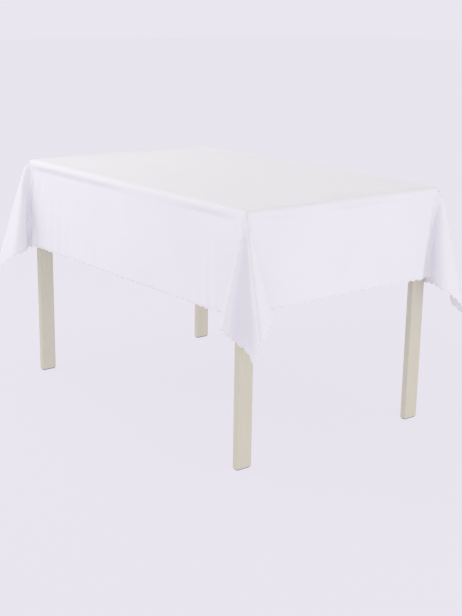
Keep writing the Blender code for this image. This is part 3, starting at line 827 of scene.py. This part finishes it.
bpy.data.objects.remove(edge)
print("edging of", len(edging_mesh.polygons), "faces")

# %% [markdown]
# ## Finishes of the table
#
# The legs and rails are beech sprayed with cream paint: a dull even coat, thin enough that
# the long grain still shows as faint streaks, so each one is streaked along its own length.
# The board has a skin of white melamine, smooth with a faint mottle. Bolts, nuts, screws and
# angles are zinc plated steel, bright but a little cloudy. The dowels are bare beech, dry and
# flecked, and the feet stand on grey felt, which is dull and fibrous.


# %% Painted wood, streaked along one axis
GRAIN_WIDTH = 0.004
GRAIN_LENGTH = 0.056
PAINT_PEBBLE = 0.0025
PAINT_FIRST, PAINT_SECOND = linear("D2CDBD"), linear("E1DDCD")


def painted_wood(name, along):
    """Cream paint on beech whose grain runs along axis 0, 1 or 2."""
    material, tree, shader = new_finish(name)
    place = add(tree, "ShaderNodeTexCoord")
    per_metre = [1 / (GRAIN_LENGTH if axis == along else GRAIN_WIDTH) for axis in range(3)]
    laid = add(tree, "ShaderNodeMapping", {"Vector": place.outputs["Object"], "Scale": per_metre})
    streaks = {"Vector": laid.outputs[0], "Scale": 1.0, "Detail": 5.0, "Roughness": 0.6}
    grain = add(tree, "ShaderNodeTexNoise", streaks)
    pebbles = {"Vector": place.outputs["Object"], "Scale": 1 / PAINT_PEBBLE, "Detail": 2.0}
    coat = add(tree, "ShaderNodeTexNoise", pebbles)
    tones = {0: grain.outputs["Fac"], 6: PAINT_FIRST, 7: PAINT_SECOND}
    tone = add(tree, "ShaderNodeMix", tones, data_type="RGBA")
    tree.links.new(tone.outputs[2], shader.inputs["Base Color"])
    low = {"Height": grain.outputs["Fac"], "Strength": 0.3, "Distance": 0.0004}
    streaked = add(tree, "ShaderNodeBump", low)
    fine = {"Height": coat.outputs["Fac"], "Normal": streaked.outputs[0]}
    fine |= {"Strength": 0.2, "Distance": 0.0002}
    pebbled = add(tree, "ShaderNodeBump", fine)
    tree.links.new(pebbled.outputs[0], shader.inputs["Normal"])
    shader.inputs["Roughness"].default_value = 0.6
    shader.inputs["Specular IOR Level"].default_value = 0.25
    return material


upright = painted_wood("cream_painted_beech_upright", 2)
lengthwise = painted_wood("cream_painted_beech_lengthwise", 0)
crosswise = painted_wood("cream_painted_beech_crosswise", 1)
print("finishes:", upright.name, lengthwise.name, crosswise.name)


# %% Board skin, metal, bare wood and felt
def speckled(name, first, second, speck, roughness, metallic=0.0, bump=0.0002):
    """A finish with specks of a given size in metres, between two tones."""
    material, tree, shader = new_finish(name)
    place = add(tree, "ShaderNodeTexCoord")
    grit = {"Vector": place.outputs["Object"], "Scale": 1 / speck, "Detail": 4.0}
    specks = add(tree, "ShaderNodeTexNoise", grit)
    tones = {0: specks.outputs["Fac"], 6: linear(first), 7: linear(second)}
    tone = add(tree, "ShaderNodeMix", tones, data_type="RGBA")
    tree.links.new(tone.outputs[2], shader.inputs["Base Color"])
    rise = {"Height": specks.outputs["Fac"], "Strength": 0.4, "Distance": bump}
    relief = add(tree, "ShaderNodeBump", rise)
    tree.links.new(relief.outputs[0], shader.inputs["Normal"])
    shader.inputs["Roughness"].default_value = roughness
    shader.inputs["Metallic"].default_value = metallic
    return material


melamine = speckled("white_melamine_board", "ECEAE6", "F2F1EE", 0.0045, 0.42)
zinc = speckled("zinc_plated_steel", "B8BABC", "CBCDCE", 0.003, 0.34, metallic=1.0)
beech = speckled("bare_beech", "C9A57C", "D9B98F", 0.006, 0.6)
felt = speckled("grey_felt", "77777A", "8D8D90", 0.0011, 0.95, bump=0.0006)
print("finishes:", melamine.name, zinc.name, beech.name, felt.name)

# %% Give every carried node its finish
finish_of = {
    "tabletop": melamine,
    "leg": upright,
    "apron_front": lengthwise,
    "apron_rear": lengthwise,
    "apron_left": crosswise,
    "apron_right": crosswise,
    "glide": felt,
    "dowel": beech,
    "frame_bolt": zinc,
    "barrel_nut": zinc,
    "angle": zinc,
    "board_screw": zinc,
    "apron_screw": zinc,
}
for name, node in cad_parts.items():
    if name in ("cloth_panel", "hem_edging"):
        continue
    kind = max((prefix for prefix in finish_of if name.startswith(prefix)), key=len)
    node.data.materials.clear()
    node.data.materials.append(finish_of[kind])
print("finished", len(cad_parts) - 2, "nodes of the table")

# %% [markdown]
# ## Joining the frame
#
# The cloth and its edging move together when the cloth is lifted off, so both ride on the
# cloth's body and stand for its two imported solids.

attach(cloth, "cloth")
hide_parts("cloth_panel")
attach(edging, "cloth")
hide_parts("hem_edging")
